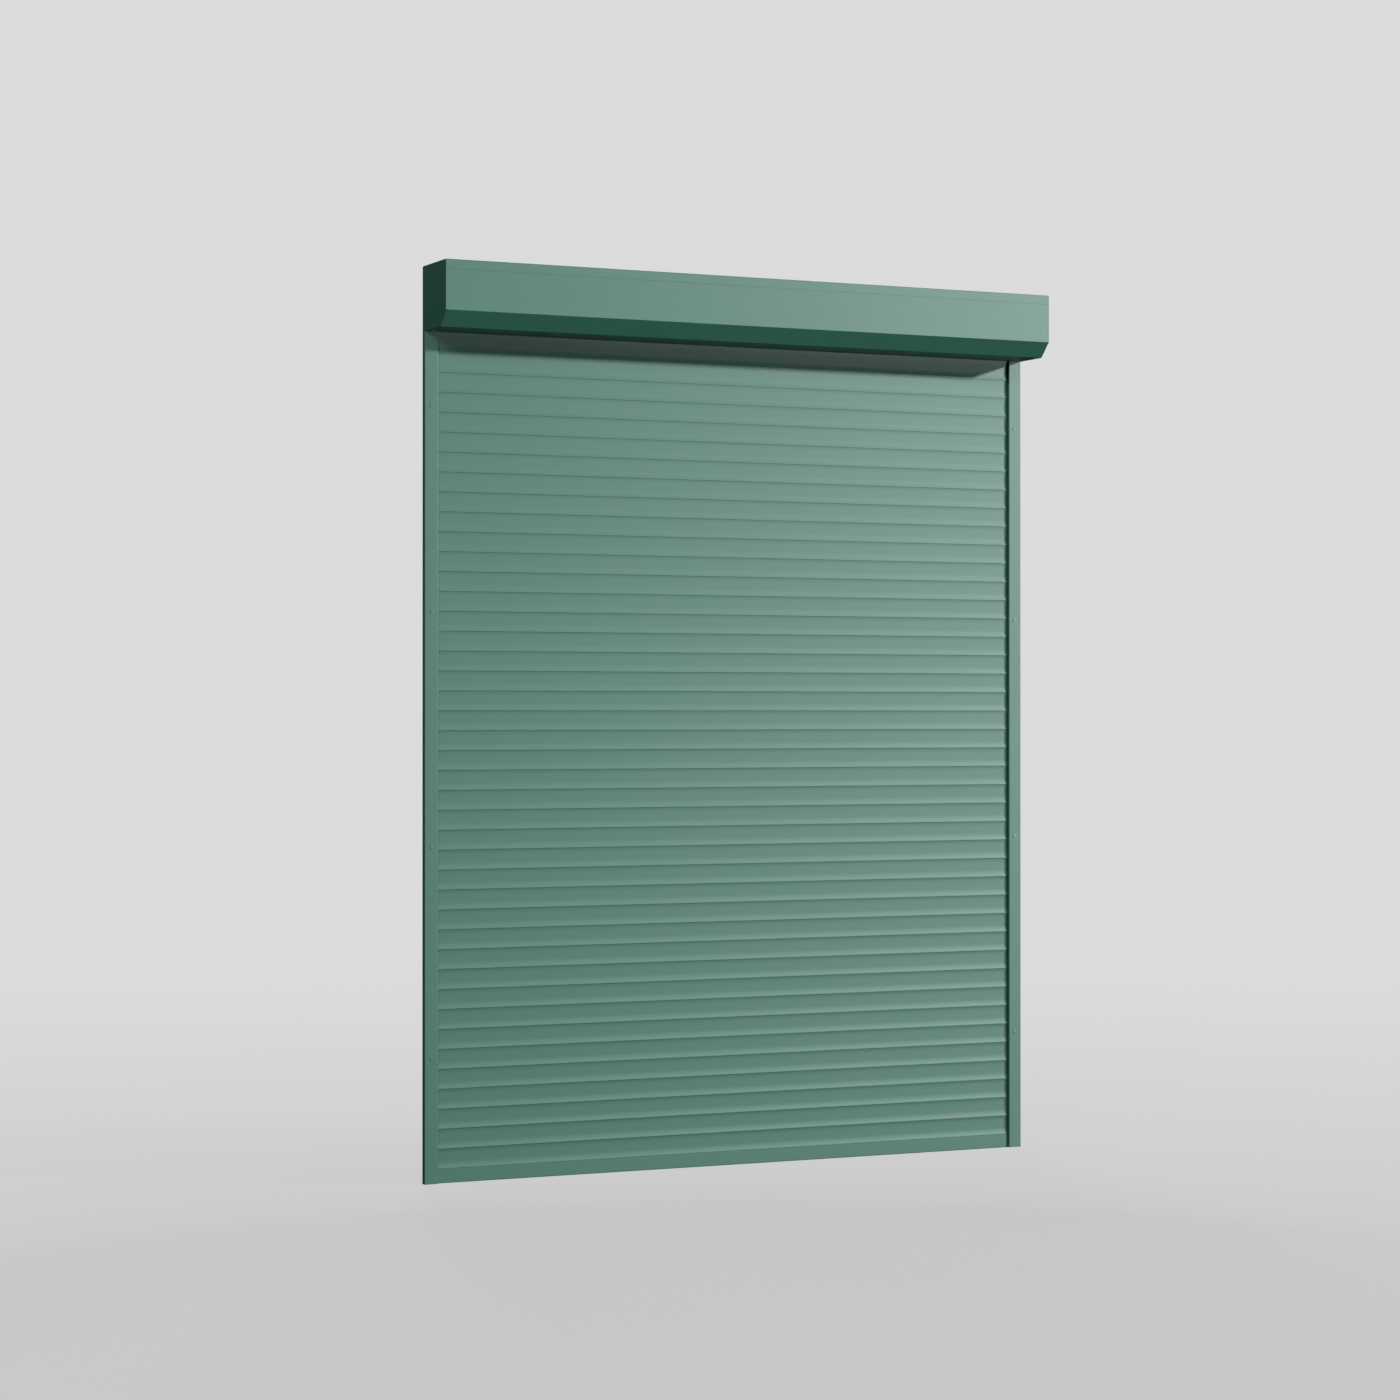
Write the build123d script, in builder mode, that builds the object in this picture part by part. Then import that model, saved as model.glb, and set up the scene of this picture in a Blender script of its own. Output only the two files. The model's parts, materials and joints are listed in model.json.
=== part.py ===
from build123d import *

import os
from math import hypot, radians, sqrt, tan

# Exterior roller shutter for the outside of a wall opening: a square casing with a chamfered lower
# front edge, two side guides, and a curtain of hooked hollow slats that a tube motor winds up.
# Millimetres. X runs along the wall, Y goes into the wall, Z is up. The origin is under the middle
# of the shutter, on the line of the sill and at the middle of the casing's depth.

# Curtain
visible_slat_count = 42
boxed_slat_count = 2
slat_pitch = 55
slat_depth = 8
slat_wall = 1
lip_flare = 2.6
lip_edge = 1.5
lip_thickness = 1.2
flare_height = 20
shoulder_height = 13
shoulder_gap = 0.5
bead_depth = 3.4
bead_rise = 4
bead_radius = 1.7
neck_width = 1
socket_play = 0.4
jaw_drop = 1.4
mouth_back = 1.1
mouth_front = 1.6
stack_gap = 0.3

# Bottom bar and its seal
bar_height = 40
bar_wall = 1.5
bar_foot = 1
bar_gap = 0.6
groove_lip = 1.5
groove_height = 3
groove_mouth = 2.4
seal_play = 0.3
cap_thickness = 2.4
cap_tenon = 30
cap_inset = 0.4
lock_thickness = 1
lock_tenon = 15
lock_margin = 4

# Casing
overall_width = 1900
casing_height = 180
casing_chamfer = 42
casing_sheet = 1.3
seam_drop = 26
seam_gap = 0.4
flange_height = 16
flange_gap = 0.1
slot_gap = 0.5
hem_height = 10
end_plate_thickness = 3
rim_gap = 0.1
rim_thickness = 2
rim_depth = 20
rim_cut_height = 50
rim_cut_depth = 35
foot_height = 15
tongue_length = 40
tongue_play = 0.3

# Guides
guide_width = 41
guide_depth = 17
guide_wall = 1.5
chamber_width = 26
nose_radius = 3
outer_radius = 2.5
nose_return = 3.7
slat_back_gap = 0.5
slat_end_gap = 3
fixing_inset = 21
fixing_radius = 3
access_radius = 5
plug_head_radius = 6
plug_head_height = 1.2
plug_dome = 0.5
plug_length = 5
plug_play = 0.1
fixing_height_shares = (0.147, 0.396, 0.671, 0.914)
strip_base = 1.4
strip_play = 0.15
fin_width = 2
fin_gap = 0.3
stop_depth = 10
stop_thickness = 1.3
stop_play = 0.25
inlet_radius = 40
inlet_thickness = 3
inlet_height = 35
inlet_gap = 1
inlet_reach = 13
inlet_lift = 1.6

# Barrel and motor
barrel_side_count = 8
barrel_flats = 60
barrel_wall = 1
barrel_end_gap = 35
barrel_play = 0.1
motor_radius = 22.5
motor_length = 490
motor_head_radius = 25
motor_head_length = 18
spigot_side = 16
spigot_length = 10
spigot_play = 0.1
bracket_thickness = 4
bracket_height = 84
bracket_width = 62
bracket_corner = 8
hub_wall = 4
hub_depth = 10
head_gap = 1
retaining_radius = 1.5
retaining_length = 32
retaining_play = 0.2
bracket_screw_shares = (-0.36, 0.36)
crown_length = 14
crown_play = 0.3
shaft_radius = 5
shaft_play = 0.1
shaft_seat = 6
shaft_pocket = 8
wheel_gap = 8
wheel_width = 20
shaft_square = 7
capsule_length = 60
capsule_flange = 3
pin_radius = 6
pin_play = 0.05
pin_seat = 50
holder_wall = 4
bearing_radius = 20
bearing_width = 11
bearing_gap = 1
bearing_play = 0.1
ball_radius = 3
ball_play = 0.3
ball_count = 8
race_half_gap = 1.8
rivet_head_radius = 4
rivet_head_height = 1.2
rivet_radius = 2
rivet_length = 8
rivet_play = 0.05

# Hanger straps
strap_places_share = (-0.36, -0.12, 0.12, 0.36)
strap_width = 22
strap_thickness = 1
strap_gap = 0.3
strap_mouth = 1.2
tab_depth = 4
tab_place = 8
slot_width = 2.4
slot_play = 1

# Screws and cable grommet
screw_radius = 2
screw_play = 0.05
screw_head_radius = 4
screw_head_height = 2.4
screw_length = 6
cover_screw_shares = (-0.17, 0.22)
grommet_inset = 50
grommet_rise = 60
grommet_radius = 8
grommet_flange = 2.5
grommet_flange_thickness = 1.5
grommet_play = 0.05
cable_radius = 4

overrun = 5

# Places that follow from the sizes
half_width = overall_width / 2
half_casing = casing_height / 2
guide_height = bar_height + visible_slat_count * slat_pitch
slat_count = visible_slat_count + boxed_slat_count
barrel_z = guide_height + half_casing
inner_face = half_width - end_plate_thickness
slat_back = half_casing - guide_wall - slat_back_gap
slat_front = slat_back - slat_depth
channel_start = 2 * guide_wall + chamber_width
slat_inset = channel_start + slat_end_gap
slat_length = overall_width - 2 * slat_inset
face_depth = slat_depth - lip_flare
neck_front = bead_depth + neck_width / 2
neck_back = bead_depth - neck_width / 2
socket_radius = bead_radius + socket_play
flare_run = flare_height - lip_edge
flare_radius = (flare_run**2 + lip_flare**2) / (2 * lip_flare)
chamber_floor = bead_rise + socket_radius + slat_wall
chamber_ceiling = slat_pitch - shoulder_gap - slat_wall
guide_front = half_casing - guide_depth
barrel_apothem = barrel_flats / 2
barrel_inner_flats = barrel_flats - 2 * barrel_wall
barrel_half = inner_face - barrel_end_gap

os.makedirs("parts", exist_ok=True)


def save(builder, name):
    """Label a finished piece and write its file."""
    builder.part.label = name
    export_step(builder.part, f"parts/{name}.step")


def curtain_plane(x, z):
    """Section plane of the curtain: local x runs forward from the slats' back, local y is up."""
    return Plane(origin=(x, slat_back, z), x_dir=(0, -1, 0), z_dir=(-1, 0, 0))


def casing_plane(x):
    """Section plane of the casing, centred on the barrel's axis: local x is Y, local y is Z."""
    return Plane(origin=(x, 0, barrel_z), x_dir=(0, 1, 0), z_dir=(1, 0, 0))


def guide_plane(z):
    """Section plane of the left guide: local x runs inward from its outer edge, local y forward."""
    return Plane(origin=(-half_width, half_casing, z), x_dir=(1, 0, 0), z_dir=(0, 0, -1))


def front_plane(y):
    """Plane that faces forward at depth y: local x is X, local y is Z."""
    return Plane(origin=(0, y, 0), x_dir=(1, 0, 0), z_dir=(0, -1, 0))


def corner_rectangle(x0, y0, x1, y1, mode=Mode.ADD):
    """Rectangle between two opposite corners in the current sketch."""
    with Locations(((x0 + x1) / 2, (y0 + y1) / 2)):
        Rectangle(abs(x1 - x0), abs(y1 - y0), mode=mode)


def bead_reach(width):
    """Height from the bead's centre down to where a flat at this distance meets it."""
    return sqrt(bead_radius**2 - width**2)


def socket_reach(width):
    """Height from the socket's centre down to where a mouth edge at this distance meets it."""
    return sqrt(socket_radius**2 - width**2)


def slat_section():
    """One slat: flared lip, flat face, receding shoulder, neck with a bead, and a C socket below.

    The bead sits in the socket of the slat above, so that neighbours hinge on each other."""
    bead_z = slat_pitch + bead_rise
    neck_z = bead_z - bead_reach(neck_width / 2)
    back_top = slat_pitch + jaw_drop - stack_gap
    face_top = slat_pitch - shoulder_height
    jaw_back = bead_depth - mouth_back
    jaw_front = bead_depth + mouth_front
    lip_back = slat_depth - lip_thickness
    with BuildLine() as outline:
        Line((slat_depth, 0), (slat_depth, lip_edge))
        TangentArc((face_depth, flare_height), (slat_depth, lip_edge), tangent=(0, -1))
        Line((face_depth, flare_height), (face_depth, face_top))
        TangentArc((face_depth, face_top), (neck_front, slat_pitch - shoulder_gap), tangent=(0, 1))
        Line((neck_front, slat_pitch - shoulder_gap), (neck_front, neck_z))
        ThreePointArc((neck_front, neck_z), (bead_depth, bead_z + bead_radius), (neck_back, neck_z))
        Polyline(
            (neck_back, neck_z),
            (neck_back, back_top),
            (0, back_top),
            (0, jaw_drop),
            (jaw_back, jaw_drop),
            (jaw_back, bead_rise - socket_reach(mouth_back)),
        )
        ThreePointArc(
            (jaw_back, bead_rise - socket_reach(mouth_back)),
            (bead_depth, bead_rise + socket_radius),
            (jaw_front, bead_rise - socket_reach(mouth_front)),
        )
        Polyline(
            (jaw_front, bead_rise - socket_reach(mouth_front)),
            (jaw_front, jaw_drop),
            (lip_back, jaw_drop),
            (lip_back, 0),
            (slat_depth, 0),
        )
    make_face(outline.edges())
    inner_radius = flare_radius + slat_wall
    floor_run = flare_height - chamber_floor
    floor_front = face_depth + flare_radius - sqrt(inner_radius**2 - floor_run**2)
    inner_face_depth = face_depth - slat_wall
    with BuildLine() as chamber:
        Polyline(
            (inner_face_depth, face_top),
            (inner_face_depth, flare_height),
        )
        TangentArc((inner_face_depth, flare_height), (floor_front, chamber_floor), tangent=(0, -1))
        Polyline(
            (floor_front, chamber_floor),
            (slat_wall, chamber_floor),
            (slat_wall, chamber_ceiling),
            (neck_front - slat_wall, chamber_ceiling),
        )
        TangentArc(
            (inner_face_depth, face_top),
            (neck_front - slat_wall, chamber_ceiling),
            tangent=(0, 1),
        )
    make_face(chamber.edges(), mode=Mode.SUBTRACT)


# Slats, two to a node, numbered from the bottom bar up
for first in range(0, slat_count, 2):
    pair = range(first, min(first + 2, slat_count))
    with BuildPart() as slats:
        for number in pair:
            with BuildSketch(curtain_plane(slat_length / 2, bar_height + number * slat_pitch)):
                slat_section()
            extrude(amount=slat_length)
    save(slats, "slats_" + "_".join(f"{number + 1:02d}" for number in pair))

# End locks: a clip in both ends of every second slat keeps the curtain from wandering sideways
lock_floor = chamber_floor + lock_margin
lock_ceiling = slat_pitch - shoulder_height
with BuildPart() as left_end_locks:
    for number in range(0, slat_count, 2):
        base = bar_height + number * slat_pitch
        with BuildSketch(curtain_plane(-slat_length / 2, base)):
            corner_rectangle(stack_gap, lock_floor, face_depth - stack_gap, lock_ceiling)
        extrude(amount=lock_thickness)
        with BuildSketch(curtain_plane(lock_tenon - slat_length / 2, base)):
            corner_rectangle(
                slat_wall + stack_gap,
                lock_floor + stack_gap,
                face_depth - slat_wall - stack_gap,
                lock_ceiling - stack_gap,
            )
        extrude(amount=lock_tenon)
save(left_end_locks, "left_end_locks")
with BuildPart() as right_end_locks:
    mirror(left_end_locks.part, about=Plane.YZ)
save(right_end_locks, "right_end_locks")

# Bottom bar: a box section with the same bead on top, and a groove for the seal underneath
groove_floor = bar_foot + groove_lip
groove_ceiling = groove_floor + groove_height
bar_top = bar_height - bar_gap
bar_back_top = bar_height + jaw_drop - stack_gap
bar_bead_z = bar_height + bead_rise
bar_neck_z = bar_bead_z - bead_reach(neck_width / 2)
mouth_low = (slat_depth - groove_mouth) / 2
mouth_high = (slat_depth + groove_mouth) / 2
with BuildPart() as bottom_bar:
    with BuildSketch(curtain_plane(slat_length / 2, 0)):
        with BuildLine():
            Polyline(
                (neck_back, bar_neck_z),
                (neck_back, bar_back_top),
                (0, bar_back_top),
                (0, bar_foot),
                (slat_depth, bar_foot),
                (slat_depth, bar_top),
                (neck_front, bar_top),
                (neck_front, bar_neck_z),
            )
            ThreePointArc(
                (neck_front, bar_neck_z),
                (bead_depth, bar_bead_z + bead_radius),
                (neck_back, bar_neck_z),
            )
        make_face()
        corner_rectangle(
            bar_wall,
            groove_ceiling + bar_wall,
            slat_depth - bar_wall,
            bar_top - bar_wall,
            mode=Mode.SUBTRACT,
        )
        corner_rectangle(
            bar_wall, groove_floor, slat_depth - bar_wall, groove_ceiling, mode=Mode.SUBTRACT
        )
        corner_rectangle(mouth_low, 0, mouth_high, groove_floor, mode=Mode.SUBTRACT)
    extrude(amount=slat_length)
save(bottom_bar, "bottom_bar")

# Rubber seal: a T head held in the groove and a soft foot that meets the sill
with BuildPart() as bottom_seal:
    with BuildSketch(curtain_plane(slat_length / 2, 0)):
        corner_rectangle(
            bar_wall + seal_play,
            groove_floor + seal_play,
            slat_depth - bar_wall - seal_play,
            groove_ceiling - seal_play,
        )
        corner_rectangle(mouth_low + seal_play, 0, mouth_high - seal_play, groove_ceiling - seal_play)
        corner_rectangle(bar_wall + seal_play, 0, slat_depth - bar_wall - seal_play, bar_foot - seal_play)
    extrude(amount=slat_length)
save(bottom_seal, "bottom_seal")

# Bar end caps: they reach further into the guides than the slats, and meet the stops at the top
with BuildPart() as left_bar_end_cap:
    with BuildSketch(curtain_plane(-slat_length / 2, 0)):
        corner_rectangle(cap_inset, bar_foot, slat_depth - cap_inset, bar_top - cap_inset)
    extrude(amount=cap_thickness)
    with BuildSketch(curtain_plane(cap_tenon - slat_length / 2, 0)):
        corner_rectangle(
            bar_wall + stack_gap,
            groove_ceiling + bar_wall + stack_gap,
            slat_depth - bar_wall - stack_gap,
            bar_top - bar_wall - stack_gap,
        )
    extrude(amount=cap_tenon)
save(left_bar_end_cap, "left_bar_end_cap")
with BuildPart() as right_bar_end_cap:
    mirror(left_bar_end_cap.part, about=Plane.YZ)
save(right_bar_end_cap, "right_bar_end_cap")

# Guides: a closed chamber that takes the wall screws, and an open channel that takes the slats
fixing_x = half_width - fixing_inset
fixing_heights = [share * guide_height for share in fixing_height_shares]
chamber_end = guide_wall + chamber_width
front_wall_rear = guide_depth - guide_wall
with BuildPart() as left_guide:
    with BuildSketch(guide_plane(guide_height)):
        with BuildSketch(mode=Mode.PRIVATE) as outer:
            corner_rectangle(0, 0, guide_width, guide_depth)
            fillet(outer.vertices().group_by(Axis.Y)[-1].sort_by(Axis.X)[0], radius=outer_radius)
            fillet(outer.vertices().group_by(Axis.Y)[-1].sort_by(Axis.X)[-1], radius=nose_radius)
        add(outer.sketch)
        corner_rectangle(guide_wall, guide_wall, chamber_end, front_wall_rear, mode=Mode.SUBTRACT)
        corner_rectangle(
            channel_start,
            guide_wall,
            guide_width + overrun,
            guide_depth - nose_return,
            mode=Mode.SUBTRACT,
        )
        corner_rectangle(
            channel_start,
            guide_wall,
            guide_width - guide_wall,
            front_wall_rear,
            mode=Mode.SUBTRACT,
        )
    extrude(amount=guide_height)
    with BuildSketch(front_plane(half_casing)):
        with Locations([(-fixing_x, height) for height in fixing_heights]):
            Circle(fixing_radius)
    extrude(amount=guide_wall + overrun, mode=Mode.SUBTRACT)
    with BuildSketch(front_plane(guide_front + guide_wall)):
        with Locations([(-fixing_x, height) for height in fixing_heights]):
            Circle(access_radius)
    extrude(amount=guide_wall + overrun, mode=Mode.SUBTRACT)
save(left_guide, "left_guide")
with BuildPart() as right_guide:
    mirror(left_guide.part, about=Plane.YZ)
save(right_guide, "right_guide")

# Guide plugs: low domed caps that close the screw access holes
with BuildPart() as left_guide_plugs:
    with BuildSketch(front_plane(guide_front + plug_length)):
        with Locations([(-fixing_x, height) for height in fixing_heights]):
            Circle(access_radius - plug_play)
    extrude(amount=plug_length)
    with BuildSketch(front_plane(guide_front)):
        with Locations([(-fixing_x, height) for height in fixing_heights]):
            Circle(plug_head_radius)
    extrude(amount=plug_head_height)
    chamfer(left_guide_plugs.edges().group_by(Axis.Y)[0], length=plug_dome)
save(left_guide_plugs, "left_guide_plugs")
with BuildPart() as right_guide_plugs:
    mirror(left_guide_plugs.part, about=Plane.YZ)
save(right_guide_plugs, "right_guide_plugs")

# Guide seals: a strip behind the front lip, with a fin that runs close to the slats
strip_end = guide_width - guide_wall - strip_play
fin_middle = (channel_start + guide_width) / 2
fin_reach = half_casing - slat_front + fin_gap
with BuildPart() as left_guide_seal:
    with BuildSketch(guide_plane(guide_height)):
        corner_rectangle(
            channel_start + strip_play,
            front_wall_rear - strip_base,
            strip_end,
            front_wall_rear - strip_play,
        )
        corner_rectangle(
            fin_middle - fin_width / 2,
            fin_reach,
            fin_middle + fin_width / 2,
            front_wall_rear - strip_play,
        )
    extrude(amount=guide_height)
save(left_guide_seal, "left_guide_seal")
with BuildPart() as right_guide_seal:
    mirror(left_guide_seal.part, about=Plane.YZ)
save(right_guide_seal, "right_guide_seal")


def casing_section(inset, mode=Mode.ADD):
    """The casing's square outline with its lower front corner cut off, set in all round."""
    half = half_casing - inset
    leg = casing_chamfer - inset * (2 - sqrt(2))
    with BuildLine() as outline:
        Polyline(
            (-half, leg - half),
            (-half, half),
            (half, half),
            (half, -half),
            (leg - half, -half),
            close=True,
        )
    make_face(outline.edges(), mode=mode)


# Rear cover: back wall, top and the narrow upper front strip, folded from one sheet
casing_length = 2 * inner_face
seam_z = half_casing - seam_drop
grommet_x = half_width - grommet_inset
with BuildPart() as rear_cover:
    with BuildSketch(casing_plane(-inner_face)):
        casing_section(0)
        casing_section(casing_sheet, mode=Mode.SUBTRACT)
        corner_rectangle(
            -half_casing - overrun,
            -half_casing - overrun,
            half_casing - casing_sheet,
            seam_z,
            mode=Mode.SUBTRACT,
        )
    extrude(amount=casing_length)
    with BuildSketch(front_plane(half_casing)):
        with Locations((-grommet_x, barrel_z + grommet_rise)):
            Circle(grommet_radius + grommet_play)
    extrude(amount=casing_sheet + overrun, mode=Mode.SUBTRACT)
save(rear_cover, "rear_cover")

# Front cover: front wall, chamfer and underside, with a flange behind the seam and a hem at the slot
slot_front = guide_front - slot_gap
front_top = seam_z - seam_gap
flange_face = flange_gap + casing_sheet
flange_half = inner_face - rim_depth - overrun
screw_x = inner_face - rim_depth / 2
cover_screw_places = [
    (side * screw_x, share * casing_height) for side in (-1, 1) for share in cover_screw_shares
]
with BuildPart() as front_cover:
    with BuildSketch(casing_plane(-inner_face)):
        casing_section(0)
        casing_section(casing_sheet, mode=Mode.SUBTRACT)
        corner_rectangle(-half_casing, -half_casing, slot_front, front_top, mode=Mode.INTERSECT)
        corner_rectangle(
            slot_front - casing_sheet,
            -half_casing,
            slot_front,
            hem_height - half_casing,
        )
    extrude(amount=casing_length)
    with BuildSketch(casing_plane(-flange_half)):
        corner_rectangle(
            flange_face - half_casing,
            front_top - flange_height / 4,
            flange_face + casing_sheet - half_casing,
            front_top + flange_height,
        )
        corner_rectangle(
            -half_casing,
            front_top - flange_height / 4,
            flange_face + casing_sheet - half_casing,
            front_top,
        )
    extrude(amount=2 * flange_half)
    with BuildSketch(Plane.XY.offset(guide_height)):
        with Locations(cover_screw_places):
            Circle(screw_radius + screw_play)
    extrude(amount=2 * casing_sheet, mode=Mode.SUBTRACT)
save(front_cover, "front_cover")

# End plates: cast plates with a rim inside the covers and a tongue that drops into each guide
rim_inset = casing_sheet + rim_gap
tongue_start = guide_wall + tongue_play
tongue_end = chamber_end - tongue_play
tongue_rear = guide_wall + tongue_play
tongue_fore = front_wall_rear - tongue_play
bracket_screw_places = [
    (y_share * bracket_width, z_share * bracket_height)
    for y_share in bracket_screw_shares
    for z_share in bracket_screw_shares
]
screw_bite = end_plate_thickness / 2
with BuildPart() as left_end_plate:
    with BuildSketch(casing_plane(-half_width)):
        casing_section(0)
    extrude(amount=end_plate_thickness)
    with BuildSketch(casing_plane(-inner_face)):
        casing_section(rim_inset)
        casing_section(rim_inset + rim_thickness, mode=Mode.SUBTRACT)
        corner_rectangle(
            half_casing - rim_cut_depth,
            -half_casing,
            half_casing,
            rim_cut_height - half_casing,
            mode=Mode.SUBTRACT,
        )
    extrude(amount=rim_depth)
    with BuildSketch(guide_plane(guide_height + foot_height)):
        corner_rectangle(0, tongue_rear, tongue_end, tongue_fore)
    extrude(amount=foot_height)
    with BuildSketch(guide_plane(guide_height)):
        corner_rectangle(tongue_start, tongue_rear, tongue_end, tongue_fore)
    extrude(amount=tongue_length)
    with BuildSketch(Plane.XY.offset(guide_height)):
        with Locations([place for place in cover_screw_places if place[0] < 0]):
            Circle(screw_radius + screw_play)
    extrude(amount=screw_length + overrun, mode=Mode.SUBTRACT)
    with BuildSketch(casing_plane(-inner_face)):
        with Locations(bracket_screw_places):
            Circle(screw_radius + screw_play)
    extrude(amount=-screw_bite, mode=Mode.SUBTRACT)
save(left_end_plate, "left_end_plate")
with BuildPart() as right_end_plate:
    mirror(left_end_plate.part, about=Plane.YZ)
save(right_end_plate, "right_end_plate")

# Cover screws: driven up through the underside into the end plates' rims
with BuildPart() as cover_screws:
    with BuildSketch(Plane.XY.offset(guide_height)):
        with Locations(cover_screw_places):
            Circle(screw_radius)
    extrude(amount=screw_length)
    with BuildSketch(Plane.XY.offset(guide_height)):
        with Locations(cover_screw_places):
            Circle(screw_head_radius)
    extrude(amount=-screw_head_height)
save(cover_screws, "cover_screws")

# Guide inlets: curved lips that lead the slats from the roll into the guides, with the bar's stop
inlet_back = slat_front - inlet_gap
inlet_centre = inlet_back - inlet_radius
inlet_bottom = inlet_lift - half_casing
inlet_top = inlet_height - half_casing
inlet_foot = foot_height + tongue_play - half_casing
stop_outer = half_width - channel_start - stop_play
stop_inner = stop_outer - stop_thickness


def inlet_section(low):
    """Quarter lip that curves forward as it rises, from the height low to the inlet's top."""
    with Locations((inlet_centre, -half_casing)):
        Circle(inlet_radius)
        Circle(inlet_radius - inlet_thickness, mode=Mode.SUBTRACT)
    corner_rectangle(inlet_centre, low, half_casing, inlet_top, mode=Mode.INTERSECT)


with BuildPart() as left_guide_inlet:
    with BuildSketch(casing_plane(-half_width + tongue_end + tongue_play)):
        inlet_section(inlet_bottom)
    extrude(amount=slat_inset + inlet_reach - tongue_end - tongue_play)
    with BuildSketch(casing_plane(-inner_face)):
        inlet_section(inlet_foot)
    extrude(amount=tongue_end + tongue_play - end_plate_thickness)
    with BuildSketch(casing_plane(-stop_outer)):
        corner_rectangle(
            inlet_back - inlet_thickness,
            -half_casing - stop_depth,
            slat_back,
            inlet_bottom + inlet_thickness,
        )
    extrude(amount=stop_outer - stop_inner)
save(left_guide_inlet, "left_guide_inlet")
with BuildPart() as right_guide_inlet:
    mirror(left_guide_inlet.part, about=Plane.YZ)
save(right_guide_inlet, "right_guide_inlet")


def octagon(flats, mode=Mode.ADD):
    """Octagon across its flats, with a flat on top."""
    RegularPolygon(
        flats / 2,
        side_count=barrel_side_count,
        major_radius=False,
        rotation=180 / barrel_side_count,
        mode=mode,
    )


# Motor bracket: a plate on the left end plate with a square hub that keeps the motor from turning
hub_inner = spigot_side + 2 * spigot_play
hub_outer = hub_inner + 2 * hub_wall
bracket_face = inner_face - bracket_thickness
hub_face = bracket_face - hub_depth
retaining_x = (bracket_face + hub_face) / 2
with BuildPart() as motor_bracket:
    with BuildSketch(casing_plane(-inner_face)):
        RectangleRounded(bracket_width, bracket_height, bracket_corner)
        with Locations(bracket_screw_places):
            Circle(screw_radius + screw_play, mode=Mode.SUBTRACT)
    extrude(amount=bracket_thickness)
    with BuildSketch(casing_plane(-bracket_face)):
        Rectangle(hub_outer, hub_outer)
        Rectangle(hub_inner, hub_inner, mode=Mode.SUBTRACT)
    extrude(amount=hub_depth)
    with BuildSketch(Plane.XY.offset(barrel_z - retaining_length / 2)):
        with Locations((-retaining_x, 0)):
            Circle(retaining_radius + retaining_play)
    extrude(amount=retaining_length, mode=Mode.SUBTRACT)
save(motor_bracket, "motor_bracket")

# Motor head: the fixed outer end of the motor, with a square spigot
head_start = hub_face - head_gap
head_end = head_start - motor_head_length
with BuildPart() as motor_head:
    with BuildSketch(casing_plane(-head_start)):
        Circle(motor_head_radius)
    extrude(amount=motor_head_length)
    with BuildSketch(casing_plane(-head_start - spigot_length)):
        Rectangle(spigot_side, spigot_side)
    extrude(amount=spigot_length)
    with BuildSketch(Plane.XY.offset(barrel_z - retaining_length / 2)):
        with Locations((-retaining_x, 0)):
            Circle(retaining_radius + retaining_play)
    extrude(amount=retaining_length, mode=Mode.SUBTRACT)
save(motor_head, "motor_head")

# Retaining pin: drops through the bracket's hub and the motor's spigot
with BuildPart() as motor_retaining_pin:
    with BuildSketch(Plane.XY.offset(barrel_z - retaining_length / 2)):
        with Locations((-retaining_x, 0)):
            Circle(retaining_radius)
    extrude(amount=retaining_length)
    with BuildSketch(Plane.XY.offset(barrel_z + hub_outer / 2)):
        with Locations((-retaining_x, 0)):
            Circle(2 * retaining_radius)
    extrude(amount=retaining_radius)
save(motor_retaining_pin, "motor_retaining_pin")

# Motor tube: the sealed motor, with a pocket in its nose where the output shaft runs
motor_end = head_end - motor_length
with BuildPart() as motor_tube:
    with BuildSketch(casing_plane(-head_end)):
        Circle(motor_radius)
    extrude(amount=motor_length)
    with BuildSketch(casing_plane(-motor_end)):
        Circle(shaft_radius + shaft_play)
    extrude(amount=-shaft_pocket, mode=Mode.SUBTRACT)
save(motor_tube, "motor_tube")

# Output shaft: round where it runs in the motor, square where it drives the wheel
wheel_start = motor_end - wheel_gap
wheel_end = wheel_start - wheel_width
with BuildPart() as motor_output_shaft:
    with BuildSketch(casing_plane(-motor_end - shaft_seat)):
        Circle(shaft_radius)
    extrude(amount=shaft_seat + wheel_gap)
    with BuildSketch(casing_plane(-wheel_start)):
        Rectangle(shaft_square, shaft_square)
    extrude(amount=wheel_width)
save(motor_output_shaft, "motor_output_shaft")

# Rivet places along the barrel: one ring through the drive wheel, one through the idler capsule
rivet_stations = (-(wheel_start + wheel_end) / 2, barrel_half - capsule_length / 2)
plug_flats = barrel_inner_flats - 2 * barrel_play
with BuildPart() as rivet_holes:
    for side in (-1, 1):
        with BuildSketch(front_plane(side * (barrel_apothem + overrun))):
            with Locations([(station, barrel_z) for station in rivet_stations]):
                Circle(rivet_radius + rivet_play)
        extrude(amount=side * (rivet_length + overrun))

# Drive wheel: an octagonal plug that turns the barrel
with BuildPart() as drive_wheel:
    with BuildSketch(casing_plane(-wheel_start)):
        octagon(plug_flats)
        Rectangle(shaft_square + 2 * shaft_play, shaft_square + 2 * shaft_play, mode=Mode.SUBTRACT)
    extrude(amount=wheel_width)
    add(rivet_holes.part, mode=Mode.SUBTRACT)
save(drive_wheel, "drive_wheel")

# Crown ring: carries the barrel's left end round the motor and reads its turns
with BuildPart() as crown_ring:
    with BuildSketch(casing_plane(-barrel_half)):
        octagon(plug_flats)
        Circle(motor_radius + crown_play, mode=Mode.SUBTRACT)
    extrude(amount=crown_length)
save(crown_ring, "crown_ring")

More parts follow.
